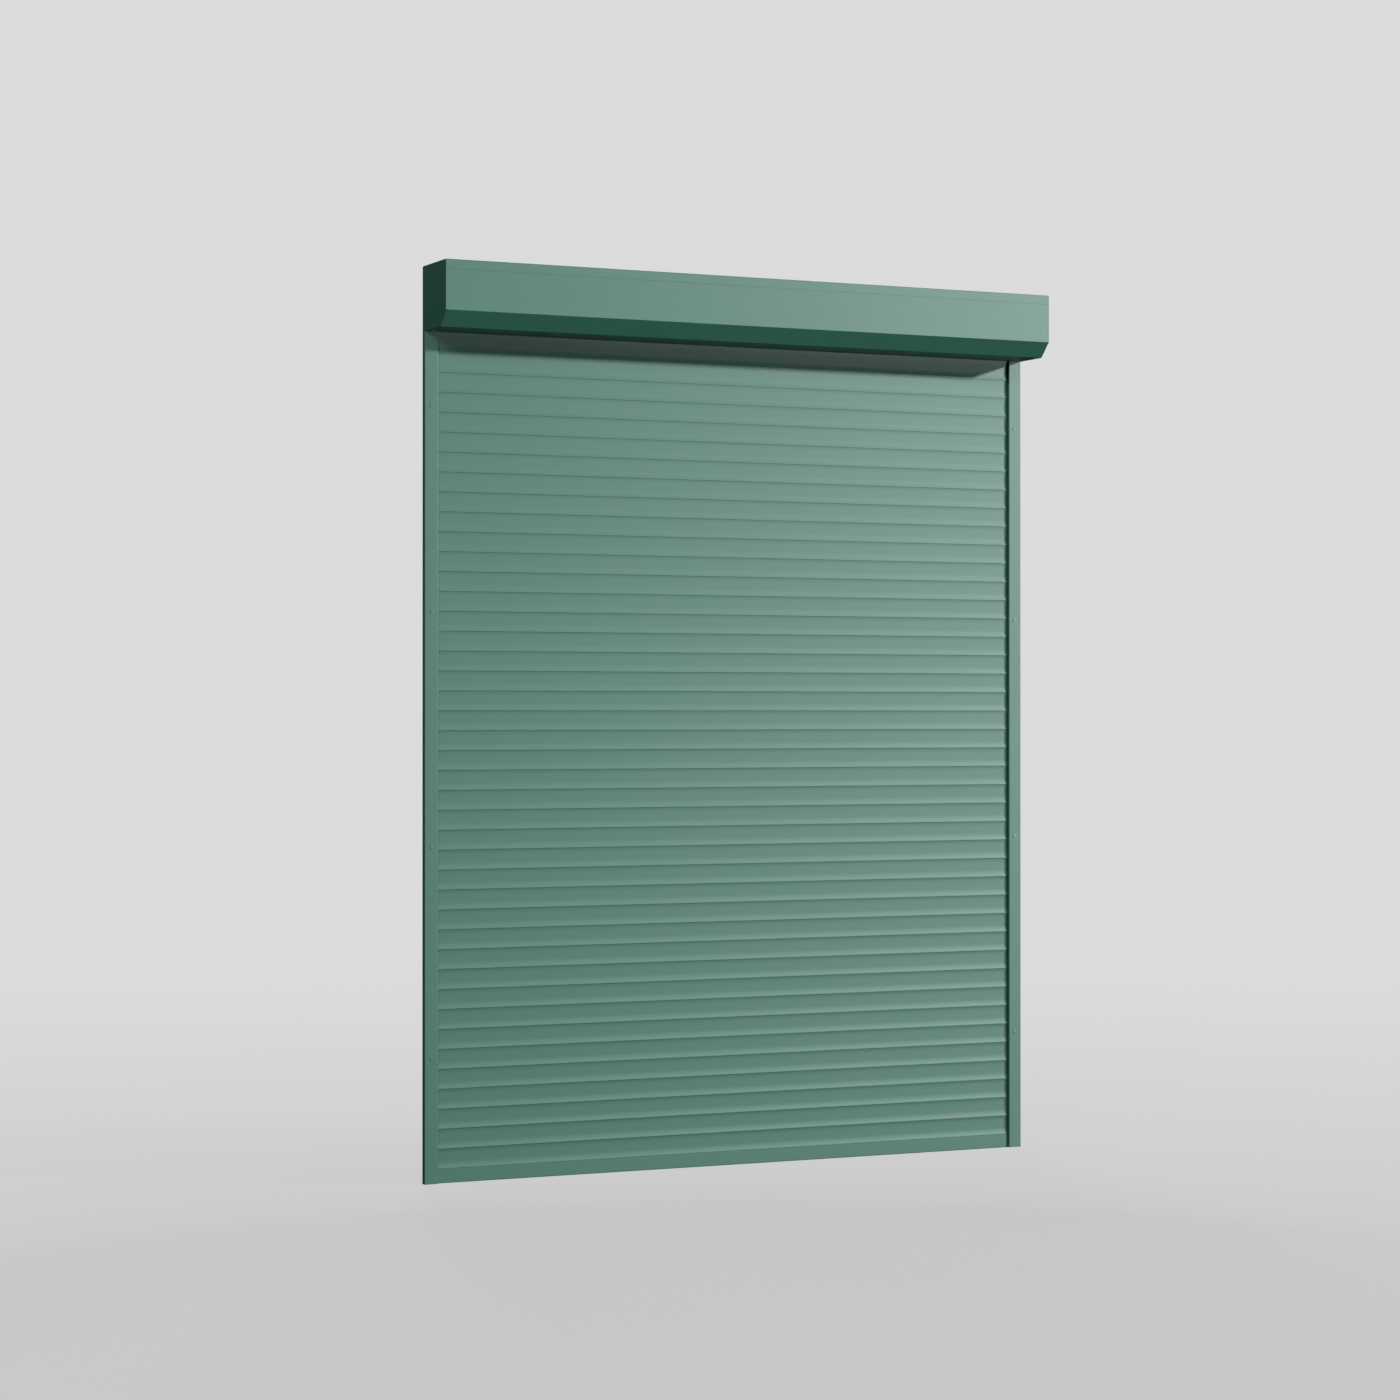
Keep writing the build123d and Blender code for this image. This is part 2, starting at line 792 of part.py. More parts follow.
# Barrel tube: an octagonal tube with slots in one flat for the hanger straps' tabs
strap_places = [share * slat_length for share in strap_places_share]
slot_length = strap_width + 2 * slot_play
with BuildPart() as barrel_tube:
    with BuildSketch(casing_plane(-barrel_half)):
        octagon(barrel_flats)
        octagon(barrel_inner_flats, mode=Mode.SUBTRACT)
    extrude(amount=2 * barrel_half)
    add(rivet_holes.part, mode=Mode.SUBTRACT)
    with BuildSketch(Plane.XY.offset(barrel_z + barrel_apothem - 2 * barrel_wall)):
        with Locations([(place, -tab_place) for place in strap_places]):
            Rectangle(slot_length, slot_width)
    extrude(amount=3 * barrel_wall, mode=Mode.SUBTRACT)
save(barrel_tube, "barrel_tube")

# Idler capsule: the plug in the barrel's right end, with a bore for its pin
capsule_start = barrel_half - capsule_length
with BuildPart() as idler_capsule:
    with BuildSketch(casing_plane(capsule_start)):
        octagon(plug_flats)
    extrude(amount=capsule_length)
    with BuildSketch(casing_plane(barrel_half)):
        octagon(barrel_flats)
    extrude(amount=capsule_flange)
    with BuildSketch(casing_plane(barrel_half + capsule_flange)):
        Circle(pin_radius + pin_play)
    extrude(amount=-pin_seat - overrun, mode=Mode.SUBTRACT)
    add(rivet_holes.part, mode=Mode.SUBTRACT)
save(idler_capsule, "idler_capsule")

# Idler pin: from the capsule into the ball bearing
bearing_end = bracket_face - bearing_gap
bearing_start = bearing_end - bearing_width
pin_start = barrel_half + capsule_flange - pin_seat
with BuildPart() as idler_pin:
    with BuildSketch(casing_plane(pin_start)):
        Circle(pin_radius)
    extrude(amount=bearing_end - pin_start)
save(idler_pin, "idler_pin")

# Barrel rivets: flat heads on the front and rear flats
with BuildPart() as barrel_rivets:
    for side in (-1, 1):
        for radius, depth, length in (
            (rivet_radius, barrel_apothem, rivet_length),
            (rivet_head_radius, barrel_apothem + rivet_head_height, rivet_head_height),
        ):
            with BuildSketch(front_plane(side * depth)):
                with Locations([(station, barrel_z) for station in rivet_stations]):
                    Circle(radius)
            extrude(amount=side * length)
save(barrel_rivets, "barrel_rivets")

# Bearing holder: a plate on the right end plate with a cup for the bearing
with BuildPart() as bearing_holder:
    with BuildSketch(casing_plane(bracket_face)):
        RectangleRounded(bracket_width, bracket_height, bracket_corner)
        with Locations(bracket_screw_places):
            Circle(screw_radius + screw_play, mode=Mode.SUBTRACT)
    extrude(amount=bracket_thickness)
    with BuildSketch(casing_plane(bearing_start)):
        Circle(bearing_radius + bearing_play + holder_wall)
        Circle(bearing_radius + bearing_play, mode=Mode.SUBTRACT)
    extrude(amount=bearing_width + bearing_gap)
save(bearing_holder, "bearing_holder")

# Bracket screws: pan-head screws that hold the two brackets to their end plates
with BuildPart() as bearing_holder_screws:
    with BuildSketch(casing_plane(bracket_face)):
        with Locations(bracket_screw_places):
            Circle(screw_radius)
    extrude(amount=bracket_thickness + screw_bite)
    with BuildSketch(casing_plane(bracket_face)):
        with Locations(bracket_screw_places):
            Circle(screw_head_radius)
    extrude(amount=-screw_head_height)
save(bearing_holder_screws, "bearing_holder_screws")
with BuildPart() as motor_bracket_screws:
    mirror(bearing_holder_screws.part, about=Plane.YZ)
save(motor_bracket_screws, "motor_bracket_screws")

# Ball bearing: two rings with a rounded race, and the balls between them
bearing_bore = pin_radius + pin_play
ball_ring = (bearing_bore + bearing_radius) / 2
race_radius = ball_radius + ball_play
bearing_middle = (bearing_start + bearing_end) / 2
ring_plane = Plane(origin=(bearing_middle, 0, barrel_z), x_dir=(1, 0, 0), z_dir=(0, -1, 0))
barrel_axis = Axis((0, 0, barrel_z), (1, 0, 0))
with BuildPart() as bearing_outer_ring:
    with BuildSketch(ring_plane):
        corner_rectangle(
            -bearing_width / 2, ball_ring + race_half_gap, bearing_width / 2, bearing_radius
        )
        with Locations((0, ball_ring)):
            Circle(race_radius, mode=Mode.SUBTRACT)
    revolve(axis=barrel_axis)
save(bearing_outer_ring, "bearing_outer_ring")
with BuildPart() as bearing_inner_ring:
    with BuildSketch(ring_plane):
        corner_rectangle(
            -bearing_width / 2, bearing_bore, bearing_width / 2, ball_ring - race_half_gap
        )
        with Locations((0, ball_ring)):
            Circle(race_radius, mode=Mode.SUBTRACT)
    revolve(axis=barrel_axis)
save(bearing_inner_ring, "bearing_inner_ring")
with BuildPart() as bearing_balls:
    with Locations(casing_plane(bearing_middle)):
        with PolarLocations(ball_ring, ball_count):
            Sphere(ball_radius)
save(bearing_balls, "bearing_balls")

# Hanger straps: sprung steel strips that hook over the top slat and into the barrel
hook_z = bar_height + slat_count * slat_pitch + bead_rise
strap_plane_z = barrel_z + barrel_apothem + strap_gap
hook_outer = socket_radius + strap_thickness
flat_edge = slat_back - barrel_apothem * tan(radians(180 / barrel_side_count))
tab_front = slat_back + tab_place
run_drop = strap_plane_z - hook_z - socket_radius
run_length = flat_edge - bead_depth
run_slope = run_drop / run_length
slope_thickness = strap_thickness * hypot(1, run_slope)
with BuildPart() as hanger_straps:
    for place in strap_places:
        with BuildSketch(curtain_plane(place + strap_width / 2, hook_z)):
            with Locations((bead_depth, 0)):
                Circle(hook_outer)
                Circle(socket_radius, mode=Mode.SUBTRACT)
            corner_rectangle(
                bead_depth - strap_mouth,
                -hook_outer - overrun,
                bead_depth + strap_mouth,
                0,
                mode=Mode.SUBTRACT,
            )
            with BuildLine():
                Polyline(
                    (bead_depth, socket_radius),
                    (flat_edge, strap_plane_z - hook_z),
                    (tab_front + strap_thickness / 2, strap_plane_z - hook_z),
                    (tab_front + strap_thickness / 2, strap_plane_z + strap_thickness - hook_z),
                    (flat_edge, strap_plane_z + strap_thickness - hook_z),
                    (bead_depth, socket_radius + slope_thickness),
                    close=True,
                )
            make_face()
            corner_rectangle(
                tab_front - strap_thickness / 2,
                strap_plane_z - tab_depth - hook_z,
                tab_front + strap_thickness / 2,
                strap_plane_z - hook_z,
            )
        extrude(amount=strap_width)
save(hanger_straps, "hanger_straps")

# Cable grommet: a rubber bush in the rear cover where the motor's cable leaves
with BuildPart() as cable_grommet:
    with BuildSketch(front_plane(half_casing)):
        with Locations((-grommet_x, barrel_z + grommet_rise)):
            Circle(grommet_radius)
            Circle(cable_radius, mode=Mode.SUBTRACT)
    extrude(amount=casing_sheet)
    with BuildSketch(front_plane(half_casing - casing_sheet)):
        with Locations((-grommet_x, barrel_z + grommet_rise)):
            Circle(grommet_radius + grommet_flange)
            Circle(cable_radius, mode=Mode.SUBTRACT)
    extrude(amount=grommet_flange_thickness)
save(cable_grommet, "cable_grommet")
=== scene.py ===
import json
from math import cos, pi, radians, sin, sqrt

import bmesh
import bpy
import numpy as np
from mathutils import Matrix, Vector
from mathutils.geometry import tessellate_polygon


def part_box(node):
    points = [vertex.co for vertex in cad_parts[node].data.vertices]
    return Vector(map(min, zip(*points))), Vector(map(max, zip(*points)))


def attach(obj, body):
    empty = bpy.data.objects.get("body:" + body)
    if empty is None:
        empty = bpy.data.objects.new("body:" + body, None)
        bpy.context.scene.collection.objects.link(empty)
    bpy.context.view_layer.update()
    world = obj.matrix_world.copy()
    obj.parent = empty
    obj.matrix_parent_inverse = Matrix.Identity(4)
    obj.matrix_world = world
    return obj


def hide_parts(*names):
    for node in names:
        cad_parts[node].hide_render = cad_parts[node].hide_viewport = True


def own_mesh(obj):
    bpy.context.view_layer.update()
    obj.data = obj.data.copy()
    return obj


# The looks of an exterior roller shutter, in metres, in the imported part's frame: X along the wall,
# Y into the wall, Z up. Rolled slats, folded covers, cast end plates, domed plugs and their coatings.

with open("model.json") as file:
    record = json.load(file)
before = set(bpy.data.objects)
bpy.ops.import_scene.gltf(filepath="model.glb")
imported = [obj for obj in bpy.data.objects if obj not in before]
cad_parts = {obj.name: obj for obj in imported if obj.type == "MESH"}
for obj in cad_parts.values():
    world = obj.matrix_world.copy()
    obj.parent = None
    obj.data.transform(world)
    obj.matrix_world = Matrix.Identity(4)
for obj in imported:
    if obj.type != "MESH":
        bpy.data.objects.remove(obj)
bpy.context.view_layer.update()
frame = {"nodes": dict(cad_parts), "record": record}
nodes = frame["nodes"]

# Sizes that the pieces below share, taken from the frame where the frame has them
MM = 0.001
curtain_low, curtain_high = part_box("slats_01_02")
slat_left, slat_right = curtain_low.x, curtain_high.x
slat_front, slat_back = curtain_low.y, curtain_high.y
slat_pitch = 55 * MM
first_slat_z = curtain_low.z
slat_wall = 1.0 * MM
lip_edge = 1.5 * MM
lip_flare = 2.6 * MM
lip_thickness = 1.2 * MM
flare_height = 20 * MM
shoulder_height = 13 * MM
shoulder_gap = 0.15 * MM
shoulder_flare = 0.9 * MM
bead_depth = 3.4 * MM
bead_rise = 4 * MM
bead_radius = 1.7 * MM
neck_half = 0.5 * MM
socket_radius = 2.1 * MM
jaw_drop = 1.4 * MM
jaw_top = 1.1 * MM
mouth_back = 1.1 * MM
mouth_front = 1.6 * MM
slat_depth = slat_back - slat_front
face_depth = slat_depth - lip_flare
smooth_turn = 35


def arc(centre, radius, start, end, steps):
    """Points on a circle from one angle to another: centre + radius (cos, sin)."""
    angles = np.linspace(start, end, steps + 1)
    return np.array(centre) + radius * np.column_stack((np.cos(angles), np.sin(angles)))


def rounded(corners, radii, steps=4):
    """Closed outline whose corners become arcs that touch both sides, radius / tan(half angle) away."""
    corners = np.array(corners, float)
    radii = np.broadcast_to(radii, len(corners))
    outline = []
    for here, before, after, radius in zip(
        corners, np.roll(corners, 1, 0), np.roll(corners, -1, 0), radii
    ):
        if radius <= 0:
            outline.append(here[None])
            continue
        back = (before - here) / np.linalg.norm(before - here)
        ahead = (after - here) / np.linalg.norm(after - here)
        half = np.arccos(np.clip(back @ ahead, -1, 1)) / 2
        middle = here + (back + ahead) / np.linalg.norm(back + ahead) * radius / sin(half)
        first = here + back * radius / np.tan(half) - middle
        last = here + ahead * radius / np.tan(half) - middle
        turn = np.linspace(0, 1, steps + 1)[:, None]
        sweep = pi - 2 * half
        outline.append(
            middle + (np.sin((1 - turn) * sweep) * first + np.sin(turn * sweep) * last) / sin(sweep)
        )
    return np.vstack(outline)


def turned(loop, anticlockwise):
    """The loop in the wanted direction, by the sign of its area."""
    y, z = loop.T
    area = (y * np.roll(z, -1) - z * np.roll(y, -1)).sum()
    return loop if (area > 0) == anticlockwise else loop[::-1]


def mesh_piece(name, points, faces, material, sharp=30):
    """A mesh object at the origin, smooth but for the edges that turn by more than the sharp angle."""
    mesh = bpy.data.meshes.new(name)
    mesh.from_pydata(points.tolist(), [], faces)
    mesh.polygons.foreach_set("use_smooth", np.ones(len(mesh.polygons), bool))
    mesh.set_sharp_from_angle(angle=radians(sharp))
    mesh.materials.append(material)
    piece = bpy.data.objects.new(name, mesh)
    bpy.context.scene.collection.objects.link(piece)
    return piece


def ring_faces(rings, size):
    """Squares between closed rings of points: from ring k to k + 1, and from point i to i + 1.

    With them come the first ring, backwards, and the last one, which close the two ends."""
    index = np.arange(rings * size).reshape(rings, size)
    here, beside = index[:-1], np.roll(index[:-1], -1, 1)
    above, corner = index[1:], np.roll(index[1:], -1, 1)
    faces = np.stack((here, beside, corner, above), -1).reshape(-1, 4).tolist()
    return faces, index[0][::-1].tolist(), index[-1].tolist()


def extrusion(sections, axis="X"):
    """Bars made by carrying profiles along an axis: point(i, j) = (station j, outline point i).

    Each section is (loops, low, high): an outer loop, any holes, and where the bar starts and ends.
    The ends are closed by the profile's own triangles. Along X a loop holds (y, z), along Y (x, z),
    along Z (x, y)."""
    points, faces, count = [], [], 0
    for loops, low, high in sections:
        loops = [turned(np.array(loop), index == 0) for index, loop in enumerate(loops)]
        flat = np.vstack(loops)
        size = len(flat)
        for station in (low, high):
            along = np.full((size, 1), station)
            if axis == "Y":
                points.append(np.hstack((flat[:, :1], along, flat[:, 1:])))
            else:
                points.append(np.hstack((along, flat) if axis == "X" else (flat, along)))
        start, first = count, len(faces)
        for loop in loops:
            ring = start + np.arange(len(loop))
            ahead = np.roll(ring, -1)
            sides = np.column_stack((ring, ahead, ahead + size, ring + size))
            faces += sides.tolist()
            start += len(loop)
        for a, b, c in tessellate_polygon([[Vector((*p, 0)) for p in loop] for loop in loops]):
            one, two, three = flat[a], flat[b], flat[c]
            if np.cross(two - one, three - one) < 0:
                b, c = c, b
            faces.append((count + size + a, count + size + b, count + size + c))
            faces.append((count + c, count + b, count + a))
        if axis == "Y":
            faces[first:] = [face[::-1] for face in faces[first:]]
        count += 2 * size
    return np.vstack(points), faces


def revolved(profile, centre, axis, across, steps=40):
    """Profile of (distance along the axis, radius) turned about it: a closed round piece."""
    axis, across = np.array(axis, float), np.array(across, float)
    third = np.cross(axis, across)
    profile = np.array(profile)
    angles = np.arange(steps) / steps * 2 * pi
    ring = np.cos(angles)[:, None] * across + np.sin(angles)[:, None] * third
    points = profile[:, None, :1] * axis + profile[:, None, 1:] * ring
    faces, first, last = ring_faces(len(profile), steps)
    return points.reshape(-1, 3) + np.array(centre), [*faces, first, last]


def several(parts):
    """Point and face lists of several shapes joined into one mesh."""
    points, faces, count = [], [], 0
    for part_points, part_faces in parts:
        points.append(part_points)
        faces += [[index + count for index in face] for face in part_faces]
        count += len(part_points)
    return np.vstack(points), faces


def eased_block(outline, low, high, edge, steps=4):
    """Convex plate along X with rounded rims.

    At an angle t the outline of (y, z) has shrunk by edge (1 - sin t) and x has run edge (1 - cos t).
    Each point moves along the mean of its two sides' normals."""
    outline = turned(np.array(outline), True)
    ahead = np.roll(outline, -1, 0) - outline
    ahead /= np.linalg.norm(ahead, axis=1)[:, None]
    out = np.column_stack((ahead[:, 1], -ahead[:, 0]))
    mean = out + np.roll(out, 1, 0)
    mean /= (mean * out).sum(1)[:, None]
    turn = np.linspace(0, pi / 2, steps + 1)
    inset = edge * (1 - np.sin(turn))
    along = edge * (1 - np.cos(turn))
    stations = np.concatenate((low + along, high - along[::-1]))
    insets = np.concatenate((inset, inset[::-1]))
    flat = outline[None] - insets[:, None, None] * mean[None]
    rings, size = len(stations), len(outline)
    x = np.broadcast_to(stations[:, None, None], (rings, size, 1))
    faces, first, last = ring_faces(rings, size)
    return np.concatenate((x, flat), -1).reshape(-1, 3), [*faces, first, last]


def area_normals(mesh, limit):
    """Normals at each corner: the sum of the faces at its point that turn little from its own face.

    Little is less than the limit, in degrees. Each face counts by the area of all the faces in its plane,
    so a flat face stays flat up to its edge. Planes are told apart by their normal and by how far they lie
    from the origin, both rounded, with a shift that keeps common values away from the rounding's borders."""
    vertex = np.empty(len(mesh.loops), np.int32)
    mesh.loops.foreach_get("vertex_index", vertex)
    count = len(mesh.polygons)
    normal, area, total = np.empty(3 * count), np.empty(count), np.empty(count, np.int32)
    mesh.polygons.foreach_get("normal", normal)
    mesh.polygons.foreach_get("area", area)
    mesh.polygons.foreach_get("loop_total", total)
    centre = np.empty(3 * count)
    mesh.polygons.foreach_get("center", centre)
    plane = normal.reshape(-1, 3)
    offset = (plane * centre.reshape(-1, 3)).sum(1) / MM
    normal_steps, offset_steps = 500, 50
    off_grid = 0.137
    key = np.round(np.column_stack((plane * normal_steps, offset * offset_steps)) + off_grid)
    flat = np.unique(key, axis=0, return_inverse=True)[1].ravel()
    area = np.bincount(flat, area)[flat]
    owner = np.repeat(np.arange(count), total)
    order = np.argsort(vertex, kind="stable")
    point = vertex[order]
    own = normal.reshape(-1, 3)[owner[order]]
    weighted = own * area[owner[order], None]
    summed = weighted.copy()
    for step in range(1, np.bincount(vertex).max()):
        near = (own[step:] * own[:-step]).sum(1) > cos(radians(limit))
        first = np.nonzero((point[step:] == point[:-step]) & near)[0]
        summed[first] += weighted[first + step]
        summed[first + step] += weighted[first]
    summed /= np.maximum(np.linalg.norm(summed, axis=1), 1e-20)[:, None]
    shared = np.empty_like(summed)
    shared[order] = summed
    mesh.normals_split_custom_set(shared.tolist())


def eased_copy(name, edge, material):
    """The CAD piece again with merged points, flat faces in one, and every sharp edge rounded."""
    same_point = 0.001 * MM
    same_plane, sharp, blend = 0.5, 32, 40
    source = nodes[name]
    mesh = source.data.copy()
    mesh.name = f"{name}_eased"
    mesh.transform(source.matrix_world)
    shape = bmesh.new()
    shape.from_mesh(mesh)
    bmesh.ops.remove_doubles(shape, verts=shape.verts, dist=same_point)
    bmesh.ops.dissolve_limit(shape, angle_limit=radians(same_plane), verts=shape.verts, edges=shape.edges)
    if edge:
        keen = [one for one in shape.edges if one.is_manifold and one.calc_face_angle() > radians(sharp)]
        bmesh.ops.bevel(
            shape, geom=keen, offset=edge, offset_type="OFFSET", segments=3, profile=0.5,
            affect="EDGES", clamp_overlap=False,
        )
    shape.to_mesh(mesh)
    shape.free()
    mesh.polygons.foreach_set("use_smooth", np.ones(len(mesh.polygons), bool))
    area_normals(mesh, blend)
    mesh.materials.clear()
    mesh.materials.append(material)
    piece = bpy.data.objects.new(mesh.name, mesh)
    bpy.context.scene.collection.objects.link(piece)
    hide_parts(name)
    return piece


# Node groups that several finishes share
vector_socket, colour_socket, number_socket = "NodeSocketVector", "NodeSocketColor", "NodeSocketFloat"
surface_outputs = [("Colour", colour_socket), ("Roughness", number_socket), ("Height", number_socket)]


def new_group(name, inputs, outputs):
    """An empty shader group with named inputs (name, socket type, default) and outputs."""
    group = bpy.data.node_groups.new(name, "ShaderNodeTree")
    for label, kind, value in inputs:
        socket = group.interface.new_socket(label, in_out="INPUT", socket_type=kind)
        if value is not None:
            socket.default_value = value
    for label, kind in outputs:
        group.interface.new_socket(label, in_out="OUTPUT", socket_type=kind)
    return group, group.nodes.new("NodeGroupInput"), group.nodes.new("NodeGroupOutput")


def node(tree, kind, links=None, **settings):
    """A node with its settings, its input values and its links, in one call."""
    made = tree.nodes.new(kind)
    for key, value in settings.items():
        setattr(made, key, value)
    for key, value in (links or {}).items():
        if isinstance(value, bpy.types.NodeSocket):
            tree.links.new(value, made.inputs[key])
        else:
            made.inputs[key].default_value = value
    return made


def maths(tree, operation, first, second):
    """The output of a Math node on two numbers or sockets."""
    return node(tree, "ShaderNodeMath", {0: first, 1: second}, operation=operation).outputs[0]


def scaled(tree, colour, level):
    """A colour times a number."""
    return node(tree, "ShaderNodeVectorMath", {0: colour, "Scale": level}, operation="SCALE").outputs[0]


def mapped(tree, value, low=0.0, high=1.0, start=0.0, end=1.0):
    """A value taken linearly from the range start to end, to the range low to high."""
    links = {"Value": value, "From Min": start, "From Max": end, "To Min": low, "To Max": high}
    return node(tree, "ShaderNodeMapRange", links).outputs[0]


def noise(tree, vector, scale, detail):
    """The output of a noise texture at a vector."""
    links = {"Vector": vector, "Scale": scale, "Detail": detail}
    return node(tree, "ShaderNodeTexNoise", links).outputs["Fac"]


def coated_group():
    """Powder coat: fine grain on a soft orange peel, and tone that drifts from one place to another."""
    fleck_depth, fine_share = 0.06, 0.35
    group, entry, leave = new_group(
        "Powder coat",
        [
            ("Vector", vector_socket, None),
            ("Colour", colour_socket, None),
            ("Drift", number_socket, 0.05),
            ("Grain Scale", number_socket, 1400.0),
            ("Peel Scale", number_socket, 260.0),
            ("Roughness", number_socket, 0.45),
            ("Spread", number_socket, 0.05),
        ],
        surface_outputs,
    )
    given = entry.outputs
    vector = given["Vector"]
    grain = noise(group, vector, given["Grain Scale"], detail=2.0)
    peel = noise(group, vector, given["Peel Scale"], detail=1.0)
    drift = noise(group, vector, scale=3.5, detail=3.0)
    centred = maths(group, "SUBTRACT", drift, 0.5)
    shade = maths(group, "MULTIPLY", centred, given["Drift"])
    speckle = maths(group, "SUBTRACT", grain, 0.5)
    total = maths(group, "ADD", shade, maths(group, "MULTIPLY", speckle, fleck_depth))
    colour = scaled(group, given["Colour"], maths(group, "ADD", total, 1.0))
    rough = maths(group, "ADD", given["Roughness"], maths(group, "MULTIPLY", centred, given["Spread"]))
    fine = maths(group, "MULTIPLY", grain, fine_share)
    group.links.new(colour, leave.inputs["Colour"])
    group.links.new(rough, leave.inputs["Roughness"])
    group.links.new(maths(group, "ADD", peel, fine), leave.inputs["Height"])
    return group


def dust_group():
    """Dust: a pale film on what faces up, broken up by noise, as a mask."""
    group, entry, leave = new_group(
        "Dust",
        [("Vector", vector_socket, None), ("Amount", number_socket, 0.2), ("Scale", number_socket, 40.0)],
        [("Mask", number_socket)],
    )
    given = entry.outputs
    normal = node(group, "ShaderNodeNewGeometry").outputs["Normal"]
    split = node(group, "ShaderNodeSeparateXYZ", {0: normal})
    up = mapped(group, split.outputs["Z"], start=0.25)
    cloud = noise(group, given["Vector"], given["Scale"], detail=4.0)
    patches = mapped(group, cloud, start=0.3, end=0.7)
    both = maths(group, "MULTIPLY", up, patches)
    group.links.new(maths(group, "MULTIPLY", both, given["Amount"]), leave.inputs["Mask"])
    return group


def spangle_group():
    """Zinc spangle: crystal cells of differing tone and gloss on a fine grain."""
    group, entry, leave = new_group(
        "Zinc spangle",
        [
            ("Vector", vector_socket, None),
            ("Colour", colour_socket, None),
            ("Cell Scale", number_socket, 160.0),
            ("Contrast", number_socket, 0.25),
            ("Roughness", number_socket, 0.4),
        ],
        surface_outputs,
    )
    given = entry.outputs
    vector = given["Vector"]
    cells = node(group, "ShaderNodeTexVoronoi", {"Vector": vector, "Scale": given["Cell Scale"]})
    tone = node(group, "ShaderNodeSeparateColor", {0: cells.outputs["Color"]})
    swing = maths(group, "MULTIPLY", maths(group, "SUBTRACT", tone.outputs["Red"], 0.5), given["Contrast"])
    colour = scaled(group, given["Colour"], maths(group, "ADD", swing, 1.0))
    rough = maths(group, "ADD", given["Roughness"], maths(group, "MULTIPLY", swing, 0.5))
    group.links.new(colour, leave.inputs["Colour"])
    group.links.new(rough, leave.inputs["Roughness"])
    group.links.new(noise(group, vector, scale=900.0, detail=2.0), leave.inputs["Height"])
    return group


def drawn_group():
    """Drawn metal: fine streaks along the barrel's axis that shift tone and gloss."""
    group, entry, leave = new_group(
        "Drawn metal",
        [
            ("Vector", vector_socket, None),
            ("Colour", colour_socket, None),
            ("Contrast", number_socket, 0.2),
            ("Roughness", number_socket, 0.3),
        ],
        surface_outputs,
    )
    given = entry.outputs
    long = node(group, "ShaderNodeMapping", {"Vector": given["Vector"], "Scale": (12.0, 700.0, 700.0)})
    streaks = noise(group, long.outputs[0], scale=1.0, detail=3.0)
    centred = maths(group, "SUBTRACT", streaks, 0.5)
    swing = maths(group, "MULTIPLY", centred, given["Contrast"])
    colour = scaled(group, given["Colour"], maths(group, "ADD", swing, 1.0))
    group.links.new(colour, leave.inputs["Colour"])
    group.links.new(maths(group, "ADD", given["Roughness"], swing), leave.inputs["Roughness"])
    group.links.new(streaks, leave.inputs["Height"])
    return group


coated = coated_group()
dusty = dust_group()
spangled = spangle_group()
drawn = drawn_group()


def patterned(name, group, colour, roughness, bump, depth):
    """A Principled material whose gloss and relief come from the group's pattern, with its main nodes."""
    material = bpy.data.materials.new(name)
    material.use_nodes = True
    tree = material.node_tree
    shader = tree.nodes["Principled BSDF"]
    place = node(tree, "ShaderNodeTexCoord").outputs["Object"]
    surface = node(tree, "ShaderNodeGroup", node_tree=group)
    tree.links.new(place, surface.inputs["Vector"])
    surface.inputs["Colour"].default_value = (*colour, 1)
    surface.inputs["Roughness"].default_value = roughness
    tree.links.new(surface.outputs["Roughness"], shader.inputs["Roughness"])
    relief = node(tree, "ShaderNodeBump", {"Strength": bump, "Distance": depth})
    tree.links.new(surface.outputs["Height"], relief.inputs["Height"])
    tree.links.new(relief.outputs["Normal"], shader.inputs["Normal"])
    return material, tree, shader, surface, place


def finish(
    name,
    colour,
    roughness,
    specular=0.5,
    bump=0.1,
    grain=1400.0,
    peel=260.0,
    dust=0.0,
    coat=0.0,
    coat_roughness=0.3,
):
    """A coat, plastic or rubber with the coat's grain, peel and drift, and dust where dust is given."""
    coat_relief = 0.05 * MM
    dust_colour = (0.32, 0.31, 0.28, 1)
    material, tree, shader, surface, place = patterned(name, coated, colour, roughness, bump, coat_relief)
    shader.inputs["Specular IOR Level"].default_value = specular
    shader.inputs["Coat Weight"].default_value = coat
    shader.inputs["Coat Roughness"].default_value = coat_roughness
    surface.inputs["Grain Scale"].default_value = grain
    surface.inputs["Peel Scale"].default_value = peel
    shown = surface.outputs["Colour"]
    if dust:
        film = node(tree, "ShaderNodeGroup", node_tree=dusty)
        tree.links.new(place, film.inputs["Vector"])
        film.inputs["Amount"].default_value = dust
        mixed = node(tree, "ShaderNodeMix", data_type="RGBA")
        tree.links.new(film.outputs["Mask"], mixed.inputs["Factor"])
        tree.links.new(shown, mixed.inputs["A"])
        mixed.inputs["B"].default_value = dust_colour
        shown = mixed.outputs["Result"]
    tree.links.new(shown, shader.inputs["Base Color"])
    return material


def metal(name, group, colour, roughness, contrast, scale=None):
    """Bare metal with the group's pattern in its tone, gloss and relief."""
    bump = 0.05
    metal_relief = 0.03 * MM
    material, tree, shader, surface, _ = patterned(name, group, colour, roughness, bump, metal_relief)
    shader.inputs["Metallic"].default_value = 1.0
    surface.inputs["Contrast"].default_value = contrast
    if scale:
        surface.inputs["Cell Scale"].default_value = scale
    tree.links.new(surface.outputs["Colour"], shader.inputs["Base Color"])
    return material


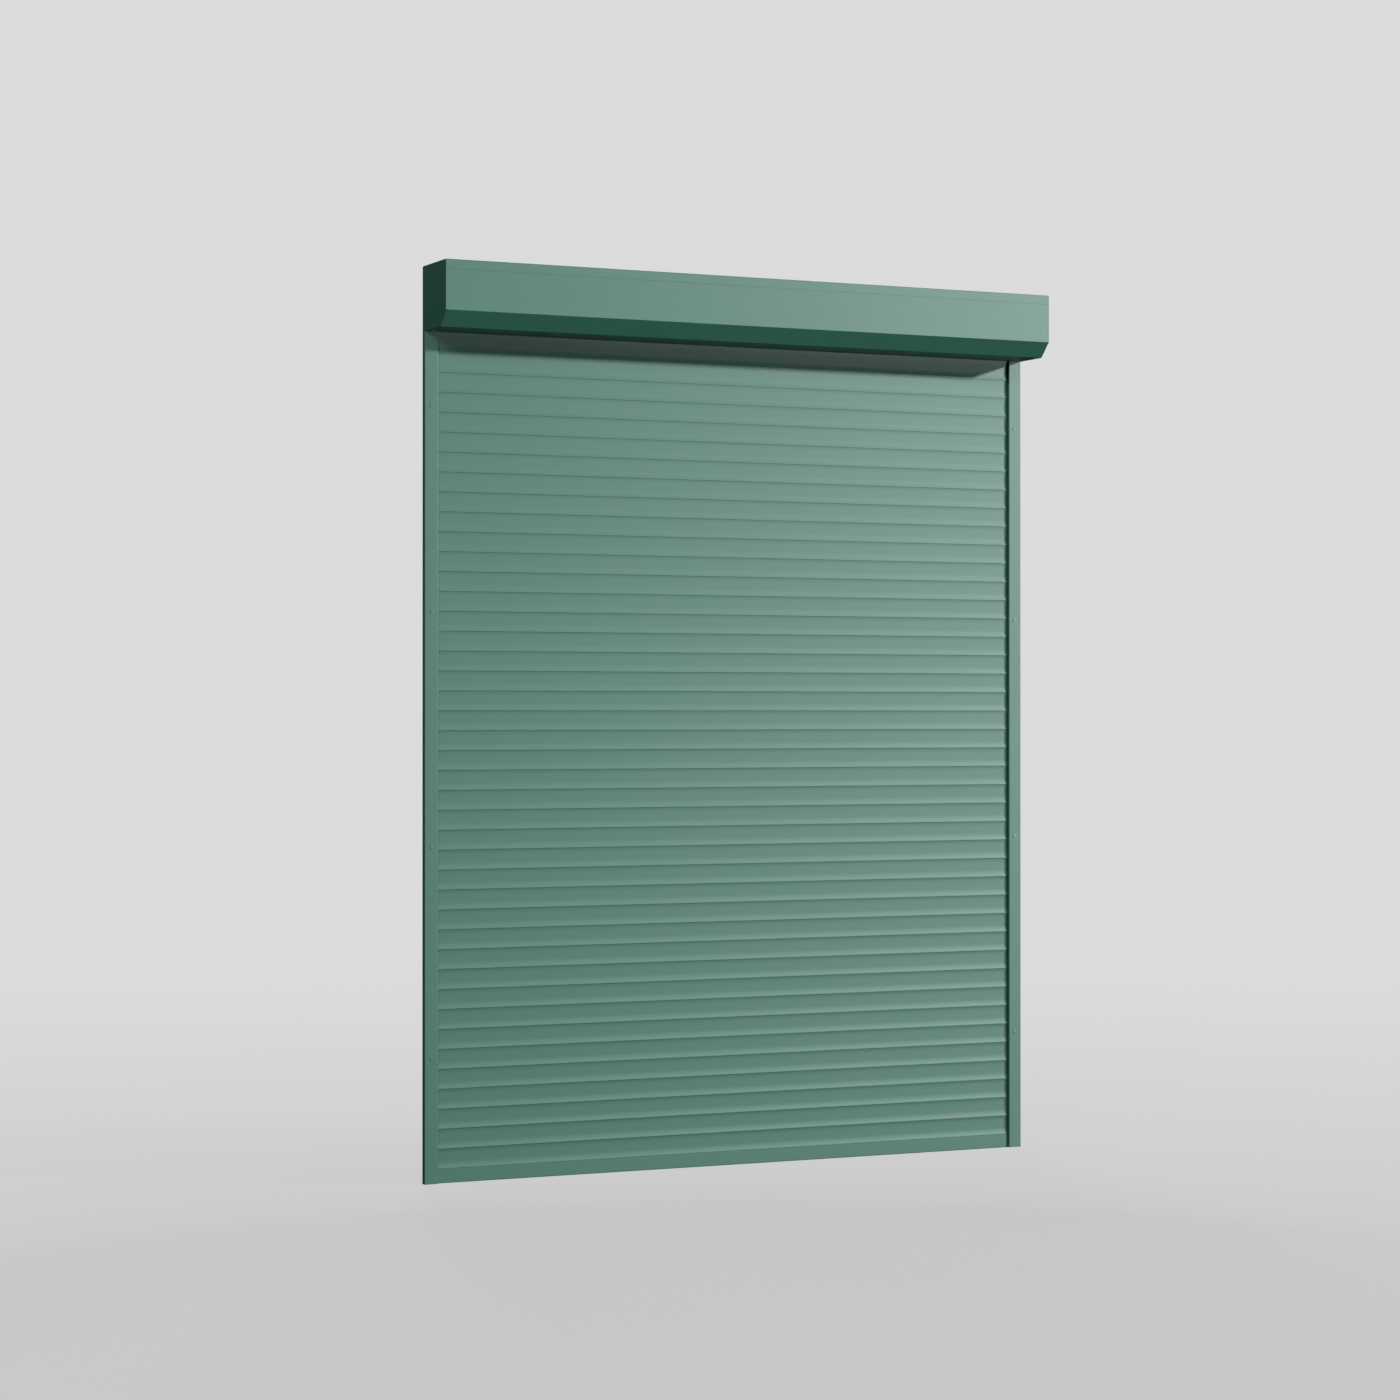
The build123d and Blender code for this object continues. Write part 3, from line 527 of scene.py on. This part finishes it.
green = (0.025, 0.155, 0.108)
materials = {
    "green_powder_coat": finish(
        "green_powder_coat", green, 0.54, specular=1.0, coat=0.12, coat_roughness=0.5
    ),
    "green_cast": finish(
        "green_cast_coat", (0.024, 0.15, 0.104), 0.5, specular=1.0, bump=0.2, grain=900.0, peel=180.0
    ),
    "green_plastic": finish(
        "green_moulded_plug", (0.032, 0.175, 0.125), 0.5, specular=1.0, coat=0.3, bump=0.05
    ),
    "black_plastic": finish(
        "black_moulded_nylon", (0.02, 0.02, 0.022), 0.5, bump=0.2, grain=2200.0, peel=500.0
    ),
    "black_rubber": finish(
        "black_rubber", (0.012, 0.012, 0.013), 0.72, bump=0.25, grain=1800.0, peel=350.0, dust=0.3
    ),
    "motor_grey": finish("motor_lacquer", (0.07, 0.072, 0.078), 0.38, bump=0.06),
    "motor_head_plastic": finish(
        "motor_head_plastic", (0.035, 0.035, 0.037), 0.45, bump=0.15, grain=2000.0, peel=420.0
    ),
    "galvanised_steel": metal("galvanised_steel", spangled, (0.56, 0.58, 0.6), 0.6, 0.12, scale=260.0),
    "zinc_steel": metal("zinc_plated_steel", spangled, (0.5, 0.51, 0.52), 0.42, 0.12, scale=600.0),
    "bright_steel": metal("bright_steel", drawn, (0.6, 0.6, 0.59), 0.2, 0.12),
    "spring_steel": metal("spring_steel", drawn, (0.24, 0.25, 0.28), 0.36, 0.25),
}
coat_green = materials["green_powder_coat"]


# Slats
def slat_loops(base):
    """One slat's profile at a height, as (y, z) loops: the outside, and the chamber.

    The outside goes over lip, face, shoulder, bead and socket. The lip and the shoulder under the next
    lip both flare forward, tangent to the face, on a circle of radius (run squared + flare squared) /
    (2 flare)."""
    lip_steps, shoulder_steps, bead_steps = 10, 8, 16
    run = flare_height - lip_edge
    radius = (run**2 + lip_flare**2) / (2 * lip_flare)
    bend = np.arcsin(run / radius)
    shoulder_run = shoulder_height - shoulder_gap
    shoulder_radius = (shoulder_run**2 + shoulder_flare**2) / (2 * shoulder_flare)
    shoulder_bend = np.arcsin(shoulder_run / shoulder_radius)
    face_top = slat_pitch - shoulder_height
    neck_angle = np.arcsin(neck_half / bead_radius)
    back_angle = np.arcsin(mouth_back / socket_radius)
    front_angle = np.arcsin(mouth_front / socket_radius)
    outside = np.vstack(
        (
            [(slat_depth - lip_thickness, jaw_drop), (slat_depth - lip_thickness, 0), (slat_depth, 0)],
            arc((face_depth + radius, flare_height), radius, pi + bend, pi, lip_steps),
            arc(
                (face_depth + shoulder_radius, face_top),
                shoulder_radius,
                pi,
                pi - shoulder_bend,
                shoulder_steps,
            ),
            [(bead_depth + neck_half, slat_pitch - shoulder_gap)],
            arc(
                (bead_depth, slat_pitch + bead_rise),
                bead_radius,
                neck_angle - pi / 2,
                3 * pi / 2 - neck_angle,
                bead_steps,
            ),
            [(bead_depth - neck_half, slat_pitch + jaw_top), (0, slat_pitch + jaw_top), (0, jaw_drop)],
            [(bead_depth - mouth_back, jaw_drop)],
            arc(
                (bead_depth, bead_rise),
                socket_radius,
                -pi / 2 - back_angle,
                -5 * pi / 2 + front_angle,
                bead_steps,
            ),
            [(bead_depth + mouth_front, jaw_drop)],
        )
    )
    floor = bead_rise + socket_radius + slat_wall
    inner_radius = radius + slat_wall
    floor_bend = np.arcsin((flare_height - floor) / inner_radius)
    ceiling = slat_pitch - shoulder_gap - slat_wall
    chamber_face = face_depth - slat_wall
    chamber = np.vstack(
        (
            [(slat_wall, floor)],
            arc((face_depth + radius, flare_height), inner_radius, pi + floor_bend, pi, shoulder_steps),
            [(chamber_face, face_top), (bead_depth + neck_half - slat_wall, ceiling), (slat_wall, ceiling)],
        )
    )
    return [
        np.column_stack((slat_back - loop[:, 0], base + loop[:, 1])) for loop in (outside, chamber)
    ]


def make_slats():
    """All slats, two to a piece, as bars of the slat's profile."""
    slat_turn = 24
    names = sorted(name for name in nodes if name.startswith("slats_"))
    made = []
    for index, name in enumerate(names):
        bars = [
            (slat_loops(first_slat_z + (2 * index + half) * slat_pitch), slat_left, slat_right)
            for half in range(2)
        ]
        points, faces = extrusion(bars)
        piece = mesh_piece(
            f"{name}_rolled", points, faces, coat_green, sharp=slat_turn
        )
        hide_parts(name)
        made.append(piece)
    return made


# Folded covers
def folded(path, thickness, radius):
    """Loop of a folded sheet: the path's outside with its folds rounded, then the inside.

    The inside is set in by the thickness, and its folds have the same centres."""
    path = np.array(path, float)
    steps = np.diff(path, axis=0)
    steps /= np.linalg.norm(steps, axis=1)[:, None]
    inward = np.column_stack((-steps[:, 1], steps[:, 0]))
    corner = inward[:-1] + inward[1:]
    corner *= thickness / (corner * inward[1:]).sum(1)[:, None]
    first = path[:1] + inward[:1] * thickness
    last = path[-1:] + inward[-1:] * thickness
    inner = np.vstack((first, path[1:-1] + corner, last))
    loop = np.vstack((path, inner[::-1]))
    folds = len(path) - 2
    inner_radius = max(radius - thickness, 0)
    radii = [0, *[radius] * folds, 0, 0, *[inner_radius] * folds, 0]
    return rounded(loop, radii)


plate_low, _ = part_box("left_end_plate")
cover_low, cover_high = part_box("rear_cover")
guide_low, guide_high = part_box("left_guide")
half_casing = (cover_high.y - cover_low.y) / 2
casing_top, casing_floor = cover_high.z, cover_low.z
half_width = -plate_low.x
inner_face = cover_high.x
casing_chamfer = 42 * MM
cover_sheet = 1.3 * MM
cover_play = 0.1 * MM
seam_drop = 26 * MM
seam_gap = 0.4 * MM
hem_height = 10 * MM
slot_front = guide_low.y - 0.5 * MM
fold_radius = 2.2 * MM
grommet_low, grommet_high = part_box("cable_grommet")
grommet_x = (grommet_low.x + grommet_high.x) / 2
grommet_z = (grommet_low.z + grommet_high.z) / 2
grommet_radius = 8.05 * MM


def make_rear_cover():
    """Back wall with the grommet's hole, and the rest folded: round the top edge, and down to the seam."""
    fold_depth = 8 * MM
    start = casing_top - fold_depth
    wall = [
        (-inner_face, casing_floor),
        (inner_face, casing_floor),
        (inner_face, start),
        (-inner_face, start),
    ]
    hole = arc((grommet_x, grommet_z), grommet_radius, 0, 2 * pi, steps=48)[:-1]
    back = extrusion([([wall, hole], half_casing - cover_sheet, half_casing)], axis="Y")
    path = [
        (half_casing, start),
        (half_casing, casing_top),
        (-half_casing, casing_top),
        (-half_casing, casing_top - seam_drop),
    ]
    sheet = extrusion([([folded(path, cover_sheet, fold_radius)], -inner_face, inner_face)])
    points, faces = several([back, sheet])
    piece = mesh_piece(
        "rear_cover_folded", points, faces, coat_green, sharp=smooth_turn
    )
    area_normals(piece.data, smooth_turn)
    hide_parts("rear_cover")
    return piece


def make_front_cover():
    """Front wall, chamfer, underside and the hem at the slot in one folded sheet.

    A flange stands up behind the seam."""
    front_top = casing_top - seam_drop - seam_gap
    leg = casing_chamfer
    path = [
        (-half_casing, front_top),
        (-half_casing, casing_floor + leg),
        (leg - half_casing, casing_floor),
        (slot_front, casing_floor),
        (slot_front, casing_floor + hem_height),
    ]
    sheet = extrusion([([folded(path, cover_sheet, fold_radius)], -inner_face, inner_face)])
    flange_height = 16 * MM
    flange_fold, flange_rim = 1 * MM, 0.4 * MM
    flange_half = inner_face - 25 * MM
    face = cover_play + cover_sheet - half_casing
    inside = cover_sheet / 2 - half_casing
    low = front_top - flange_height / 4
    step = front_top - 0.05 * MM
    flange = rounded(
        [
            (inside, low),
            (face + cover_sheet, low),
            (face + cover_sheet, front_top + flange_height),
            (face, front_top + flange_height),
            (face, step),
            (inside, step),
        ],
        [0, flange_fold, flange_rim, flange_rim, 0, 0],
    )
    joggle = extrusion([([flange], -flange_half, flange_half)])
    points, faces = several([sheet, joggle])
    piece = mesh_piece(
        "front_cover_folded", points, faces, coat_green, sharp=smooth_turn
    )
    area_normals(piece.data, smooth_turn)
    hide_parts("front_cover")
    return piece


def make_end_plate(side):
    """Cast plate with rounded corners, a rim inside the covers, and the tongue that enters the guide."""
    name = "left_end_plate" if side < 0 else "right_end_plate"
    back_corner, top_corner, chamfer_corner = 1.2 * MM, 2.6 * MM, 3 * MM
    plate_edge = 0.9 * MM
    rim_wall, rim_depth, rim_sink = 2 * MM, 20 * MM, 0.5 * MM
    rim_foot, rim_end = 50 * MM, 35 * MM
    foot_inset, foot_height = 0.3 * MM, 15 * MM
    tongue_inset, tongue_end, tongue_drop = 1.8 * MM, 27.2 * MM, 40 * MM
    tongue_edge = 1 * MM
    leg = casing_chamfer
    corners = [
        (half_casing, casing_floor),
        (half_casing, casing_top),
        (-half_casing, casing_top),
        (-half_casing, casing_floor + leg),
        (leg - half_casing, casing_floor),
    ]
    radii = [back_corner, top_corner, top_corner, chamfer_corner, chamfer_corner]
    ends = sorted((side * half_width, side * inner_face))
    plate = eased_block(rounded(corners, radii, steps=6), *ends, plate_edge)
    inset = cover_sheet + cover_play
    rim_leg = leg - inset * (2 - sqrt(2))
    path = [
        (half_casing - inset, casing_floor + rim_foot),
        (half_casing - inset, casing_top - inset),
        (inset - half_casing, casing_top - inset),
        (inset - half_casing, casing_floor + inset + rim_leg),
        (inset + rim_leg - half_casing, casing_floor + inset),
        (half_casing - rim_end, casing_floor + inset),
    ]
    reach = sorted((side * (inner_face + rim_sink), side * (inner_face - rim_depth)))
    rim = extrusion([([folded(path, rim_wall, rim_wall)], *reach)])
    front, rear = guide_low.y + tongue_inset, guide_high.y - tongue_inset
    blocks = []
    for start, low, high in (
        (foot_inset, casing_floor, casing_floor + foot_height),
        (tongue_inset, casing_floor - tongue_drop, casing_floor),
    ):
        near, far = sorted((side * (half_width - start), side * (half_width - tongue_end)))
        box = rounded([(near, front), (far, front), (far, rear), (near, rear)], tongue_edge)
        blocks.append(extrusion([([box], low, high)], axis="Z"))
    points, faces = several([plate, rim, *blocks])
    piece = mesh_piece(
        f"{name}_cast", points, faces, materials["green_cast"], sharp=smooth_turn
    )
    area_normals(piece.data, smooth_turn)
    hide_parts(name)
    return piece


def make_bottom_bar():
    """Box section with rounded corners, the bead on top and the seal's groove underneath."""
    bar_low, bar_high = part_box("bottom_bar")
    foot, top = 1 * MM, 39.4 * MM
    wall = 1.5 * MM
    outer_edge, inner_edge, mouth_edge, shoulder_edge = 0.8 * MM, 0.4 * MM, 0.2 * MM, 0.3 * MM
    neck_back, neck_front = bead_depth - neck_half, bead_depth + neck_half
    bead_z = first_slat_z + bead_rise
    neck = np.arcsin(neck_half / bead_radius)
    back_top = first_slat_z + jaw_top
    mouth = 1.2 * MM
    middle = slat_depth / 2
    groove_floor, groove_ceiling = 2.5 * MM, 5.5 * MM
    corners = [
        (neck_front, top),
        (slat_depth, top),
        (slat_depth, foot),
        (middle + mouth, foot),
        (middle + mouth, groove_floor),
        (slat_depth - wall, groove_floor),
        (slat_depth - wall, groove_ceiling),
        (wall, groove_ceiling),
        (wall, groove_floor),
        (middle - mouth, groove_floor),
        (middle - mouth, foot),
        (0, foot),
        (0, back_top),
        (neck_back, back_top),
    ]
    groove = [0] * 6
    radii = [0, outer_edge, outer_edge, mouth_edge, *groove, mouth_edge, outer_edge, shoulder_edge, 0]
    bead = arc((bead_depth, bead_z), bead_radius, 3 * pi / 2 - neck, neck - pi / 2, steps=16)
    outside = np.vstack((rounded(corners, radii), bead))
    chamber = rounded(
        [
            (wall, groove_ceiling + wall),
            (slat_depth - wall, groove_ceiling + wall),
            (slat_depth - wall, top - wall),
            (wall, top - wall),
        ],
        inner_edge,
    )
    loops = [np.column_stack((slat_back - loop[:, 0], loop[:, 1])) for loop in (outside, chamber)]
    points, faces = extrusion([(loops, bar_low.x, bar_high.x)])
    piece = mesh_piece("bottom_bar_extruded", points, faces, coat_green)
    area_normals(piece.data, smooth_turn)
    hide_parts("bottom_bar")
    return piece


def make_plugs(side):
    """Domed plugs: a flat crown, a rounded shoulder, a short skirt on the guide and the pin in its hole."""
    name = "left_guide_plugs" if side < 0 else "right_guide_plugs"
    low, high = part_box(name)
    heights = [345.45 * MM, 930.6 * MM, 1576.85 * MM, 2147.9 * MM]
    radius, crown, centre = 6 * MM, 0.9 * MM, 0.4 * MM
    pin_radius, pin_end, pin_depth = 4.9 * MM, 4.7 * MM, 5 * MM
    dome_turn = 40
    face = guide_low.y
    dome_points, sides = 7, 48
    turn = np.linspace(0, pi / 2, dome_points)
    depth = low.y - face + crown * (1 - np.sin(turn))
    dome = np.column_stack((depth, radius - crown + crown * np.cos(turn)))[::-1]
    skirt = [(0, radius), (0, pin_radius), (pin_depth, pin_end)]
    profile = np.vstack(([(low.y - face, centre)], dome, skirt))
    x = (low.x + high.x) / 2
    points, faces = several(
        [revolved(profile, (x, face, height), (0, 1, 0), (0, 0, 1), sides) for height in heights]
    )
    piece = mesh_piece(
        f"{name}_domed", points, faces, materials["green_plastic"], sharp=dome_turn
    )
    area_normals(piece.data, dome_turn)
    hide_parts(name)
    return piece


slot_of = {entry["node"]: entry["material_slot"] for entry in frame["record"]["subparts"]}
for name, shown in nodes.items():
    shown.data.materials.clear()
    shown.data.materials.append(materials[slot_of[name]])

slats = make_slats()
fixed = [
    make_rear_cover(),
    make_front_cover(),
    make_end_plate(-1),
    make_end_plate(1),
    make_plugs(-1),
    make_plugs(1),
]
on_curtain = [*slats, make_bottom_bar()]

# Every other piece: the CAD shape with its edges eased, in millimetres
eased_edges = {
    "left_guide": 0.3, "right_guide": 0.3, "left_guide_inlet": 0.5, "right_guide_inlet": 0.5,
    "motor_bracket": 0.4, "bearing_holder": 0.4, "motor_head": 0.8, "motor_tube": 0.3, "barrel_tube": 0.25,
    "crown_ring": 0.3, "drive_wheel": 0.3, "idler_capsule": 0.4, "idler_pin": 0.3,
    "motor_output_shaft": 0.2, "bearing_outer_ring": 0.3, "bearing_inner_ring": 0.3, "bearing_balls": 0,
    "barrel_rivets": 0.4, "cover_screws": 0.6, "motor_bracket_screws": 0.6, "bearing_holder_screws": 0.6,
    "motor_retaining_pin": 0.3, "cable_grommet": 0.4, "left_guide_seal": 0.15, "right_guide_seal": 0.15,
    "bottom_seal": 0.1, "left_bar_end_cap": 0.3, "right_bar_end_cap": 0.3, "left_end_locks": 0.2,
    "right_end_locks": 0.2, "hanger_straps": 0.15,
}
eased = {
    name: eased_copy(name, edge * MM, materials[slot_of[name]])
    for name, edge in eased_edges.items()
}
curtain_names = (
    "bottom_seal", "left_bar_end_cap", "right_bar_end_cap", "left_end_locks", "right_end_locks",
    "hanger_straps",
)
barrel_names = (
    "barrel_tube", "crown_ring", "drive_wheel", "idler_capsule", "idler_pin", "motor_output_shaft",
    "barrel_rivets", "bearing_inner_ring",
)
on_curtain += [eased[name] for name in curtain_names]
on_barrel = [eased[name] for name in barrel_names]
fixed += [piece for name, piece in eased.items() if name not in curtain_names + barrel_names]
for body, pieces in (("curtain", on_curtain), ("barrel", on_barrel), ("housing", fixed)):
    for piece in pieces:
        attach(piece, body)

# The slats, end locks and hanger straps each get a mesh of their own
for piece in [*slats, eased["left_end_locks"], eased["right_end_locks"], eased["hanger_straps"]]:
    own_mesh(piece)


# Camera, lamps and floor
lens, sensor_width = 86.04, 36
camera_place = (-4.192, -8.581, 1.2988)
camera_rise, camera_turn = 0.218, 25.242
gloss_share = 0.02
sky_colour, sky_level = (0.96, 0.98, 1.0, 1), 0.035
backdrop_grey = 0.712
floor_inner, floor_outer = 0.5, 60.0
floor_tone, tone_swing = 0.36, 0.04
floor_bounce, bounce_swing = 0.008, 0.08
floor_glow_share = 0.82
near_glow = 0.642
fade_centre = (-1.2, -2.6, 0.0)
fade_start, fade_end, fade_power = 2.2, 10.0, 0.5


def make_camera():
    """The photograph's view: a long lens to the left of the shutter, level with its middle."""
    data = bpy.data.cameras.new("photo_camera")
    data.sensor_width = sensor_width
    data.lens = lens
    camera = bpy.data.objects.new("photo_camera", data)
    camera.location = camera_place
    camera.rotation_euler = (radians(90 + camera_rise), 0, radians(-camera_turn))
    bpy.context.scene.collection.objects.link(camera)
    bpy.context.scene.camera = camera


def area_lamp(name, place, target_height, size, power):
    """A square soft lamp at a place, turned to a height on the object's middle line."""
    data = bpy.data.lights.new(name, "AREA")
    data.shape = "SQUARE"
    data.size = size
    data.energy = power
    lamp = bpy.data.objects.new(name, data)
    lamp.location = place
    sight = Vector((0, 0, target_height)) - Vector(place)
    lamp.rotation_euler = sight.to_track_quat("-Z", "Y").to_euler()
    bpy.context.scene.collection.objects.link(lamp)


def seen_directly(tree):
    """1 for rays from the camera or through glass, and a share for rays off gloss, else 0."""
    ray = node(tree, "ShaderNodeLightPath")
    gloss = maths(tree, "MULTIPLY", ray.outputs["Is Glossy Ray"], gloss_share)
    direct = maths(tree, "MAXIMUM", ray.outputs["Is Transmission Ray"], ray.outputs["Is Camera Ray"])
    return maths(tree, "MAXIMUM", gloss, direct)


def mixed_shader(tree, share, first, second):
    """Two shaders mixed, by the share of the second."""
    return node(tree, "ShaderNodeMixShader", {0: share, 1: first, 2: second}).outputs[0]


def make_world():
    """A weak grey sky that lights the object, and the pale backdrop's grey where it is seen directly."""
    world = bpy.data.worlds.new("studio")
    world.use_nodes = True
    bpy.context.scene.world = world
    tree = world.node_tree
    sky = tree.nodes["Background"]
    sky.inputs["Color"].default_value = sky_colour
    sky.inputs["Strength"].default_value = sky_level
    backdrop_colour = (backdrop_grey, backdrop_grey, backdrop_grey, 1)
    seen = node(tree, "ShaderNodeBackground", {"Color": backdrop_colour, "Strength": 1.0})
    choice = mixed_shader(tree, seen_directly(tree), sky.outputs[0], seen.outputs[0])
    tree.links.new(choice, tree.nodes["World Output"].inputs["Surface"])


def floor_material():
    """Plaster that sends little light up, fades into the backdrop and is clear from underneath.

    The fade is the square root of the way from fade_start to fade_end, measured from fade_centre."""
    material = bpy.data.materials.new("studio_floor")
    material.use_nodes = True
    tree = material.node_tree
    shader = tree.nodes["Principled BSDF"]
    shader.inputs["Roughness"].default_value = 1.0
    shader.inputs["Specular IOR Level"].default_value = 0.0
    place = node(tree, "ShaderNodeTexCoord").outputs["Object"]
    cloud = noise(tree, place, scale=1.2, detail=2.0)
    seen = seen_directly(tree)
    low = mapped(tree, seen, (1 - bounce_swing) * floor_bounce, (1 - tone_swing) * floor_tone)
    high = mapped(tree, seen, (1 + bounce_swing) * floor_bounce, (1 + tone_swing) * floor_tone)
    tree.links.new(mapped(tree, cloud, low, high), shader.inputs["Base Color"])
    reach = node(tree, "ShaderNodeVectorMath", {0: place, 1: fade_centre}, operation="DISTANCE")
    steady = mapped(tree, reach.outputs["Value"], start=fade_start, end=fade_end)
    fade = maths(tree, "POWER", steady, fade_power)
    share = maths(tree, "MULTIPLY", mapped(tree, fade, floor_glow_share, 1.0), seen)
    glow = node(tree, "ShaderNodeEmission", {"Strength": 1.0})
    tree.links.new(mapped(tree, fade, near_glow, backdrop_grey), glow.inputs["Color"])
    total = mixed_shader(tree, share, shader.outputs[0], glow.outputs[0])
    underneath = node(tree, "ShaderNodeNewGeometry").outputs["Backfacing"]
    clear = node(tree, "ShaderNodeBsdfTransparent").outputs[0]
    one_sided = mixed_shader(tree, underneath, total, clear)
    tree.links.new(one_sided, tree.nodes["Material Output"].inputs["Surface"])
    return material


def make_floor():
    """A flat floor: rings of a disc whose radius grows by a steady factor, facing up."""
    steps, sides = 24, 96
    radii = np.geomspace(floor_inner, floor_outer, steps)
    angles = np.arange(sides) / sides * 2 * pi
    x = np.outer(radii, np.cos(angles))
    y = np.outer(radii, np.sin(angles))
    points = np.stack((x, y, np.zeros_like(x)), -1).reshape(-1, 3)
    faces, first, _ = ring_faces(steps, sides)
    mesh = bpy.data.meshes.new("studio_floor")
    mesh.from_pydata(points.tolist(), [], [face[::-1] for face in [*faces, first]])
    mesh.materials.append(floor_material())
    floor = bpy.data.objects.new("studio_floor", mesh)
    bpy.context.scene.collection.objects.link(floor)


make_camera()
make_world()
make_floor()
area_lamp("key_lamp", (12.5, -8.8, 6.3), target_height=1.3, size=0.8, power=2560)
area_lamp("low_lamp", (7.2, -10.0, 0.8), target_height=1.1, size=2.2, power=345)
area_lamp("fill_lamp", (-6.5, -7.0, 5.7), target_height=1.1, size=2.4, power=390)
area_lamp("rear_lamp", (3.5, 10.0, 5.5), target_height=1.3, size=4.0, power=1100)
bpy.context.scene.view_settings.view_transform = "Standard"
